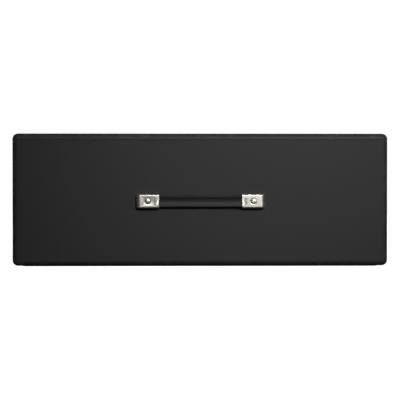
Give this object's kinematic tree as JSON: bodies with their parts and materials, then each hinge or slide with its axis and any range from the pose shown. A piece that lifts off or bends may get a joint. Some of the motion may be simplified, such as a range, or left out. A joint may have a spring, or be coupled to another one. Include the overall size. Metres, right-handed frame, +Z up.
{
  "type": "hat box",
  "caption": "Rectangular travel hat box in black leatherette, with a back-hinged lid, a satin-lined inside with an oval crown collar, and a sprung strap handle in nickel caps.",
  "frame": {"origin": "middle of the box's overall length and width, on the surface it stands on", "axes": "+X to the right along the front, +Y from the front with the handle towards the hinges at the back, +Z up"},
  "size_m": [0.48, 0.4132, 0.17],
  "materials": {
    "leatherette": "black vinyl-coated cloth with a fine pebble grain, matte",
    "plywood": "bare birch plywood, sealed edges",
    "felt": "thin black wool felt",
    "satin": "warm champagne satin over card and thin wadding",
    "nickel": "bright nickel plate, lightly worn",
    "steel": "zinc-plated steel",
    "vinyl": "moulded black vinyl over a spring-steel core, satin"
  },
  "bodies": {
    "case": {"body_cover": "leatherette", "front_board": "plywood", "back_board": "plywood", "left_board": "plywood", "right_board": "plywood", "floor_board": "plywood", "underside_sheet": "felt", "front_lining": "satin", "back_lining": "satin", "left_lining": "satin", "right_lining": "satin", "floor_pad": "satin", "hat_collar": "satin", "handle_cap_left": "nickel", "handle_cap_right": "nickel", "handle_screw_left": "nickel", "handle_screw_right": "nickel", "hinge_left_wall_leaf": "nickel", "hinge_right_wall_leaf": "nickel", "hinge_left_wall_screw_1": "nickel", "hinge_left_wall_screw_2": "nickel", "hinge_right_wall_screw_1": "nickel", "hinge_right_wall_screw_2": "nickel", "handle_tee_nut_left": "steel", "handle_tee_nut_right": "steel", "hinge_left_pin": "steel", "hinge_right_pin": "steel", "magnet_1": "steel", "magnet_2": "steel", "magnet_3": "steel"},
    "lid": {"lid_cover": "leatherette", "lid_board": "plywood", "lid_pad": "satin", "hinge_left_lid_leaf": "nickel", "hinge_right_lid_leaf": "nickel", "hinge_left_lid_screw_1": "nickel", "hinge_left_lid_screw_2": "nickel", "hinge_right_lid_screw_1": "nickel", "hinge_right_lid_screw_2": "nickel", "magnet_keeper_1": "steel", "magnet_keeper_2": "steel", "magnet_keeper_3": "steel"},
    "strap_grip": {"strap_grip": "vinyl"},
    "strap_arm_left": {"strap_arm_left": "vinyl"},
    "strap_arm_right": {"strap_arm_right": "vinyl"},
    "strap_end_left": {"strap_end_left": "vinyl"},
    "strap_end_right": {"strap_end_right": "vinyl"}
  },
  "joints": [
    {"name": "lid_hinge", "type": "hinge", "parent": "case", "child": "lid", "pos_m": [0, 0.2043, 0.16165], "axis": [-1, 0, 0], "range_deg": [0, 100]},
    {"name": "handle_lift", "type": "slide", "parent": "case", "child": "strap_grip", "axis": [0, -1, 0], "range_m": [0, 0.02], "stiffness_N_per_m": 200},
    {"name": "strap_bend_left", "type": "hinge", "parent": "strap_grip", "child": "strap_arm_left", "pos_m": [-0.013, -0.2017, 0.0835], "axis": [0, 0, -1], "range_deg": [0, 30]},
    {"name": "strap_bend_right", "type": "hinge", "parent": "strap_grip", "child": "strap_arm_right", "pos_m": [0.013, -0.2017, 0.0835], "axis": [0, 0, 1], "range_deg": [0, 30]},
    {"name": "strap_slide_left", "type": "hinge", "parent": "strap_arm_left", "child": "strap_end_left", "pos_m": [-0.053, -0.2017, 0.0835], "axis": [0, 0, 1], "range_deg": [0, 30]},
    {"name": "strap_slide_right", "type": "hinge", "parent": "strap_arm_right", "child": "strap_end_right", "pos_m": [0.053, -0.2017, 0.0835], "axis": [0, 0, -1], "range_deg": [0, 30]}
  ],
  "couplings": [
    {"joint": "strap_bend_left", "follows": "handle_lift", "rad_per_m": 26.18},
    {"joint": "strap_bend_right", "follows": "handle_lift", "rad_per_m": 26.18},
    {"joint": "strap_slide_left", "follows": "handle_lift", "rad_per_m": 26.18},
    {"joint": "strap_slide_right", "follows": "handle_lift", "rad_per_m": 26.18}
  ]
}
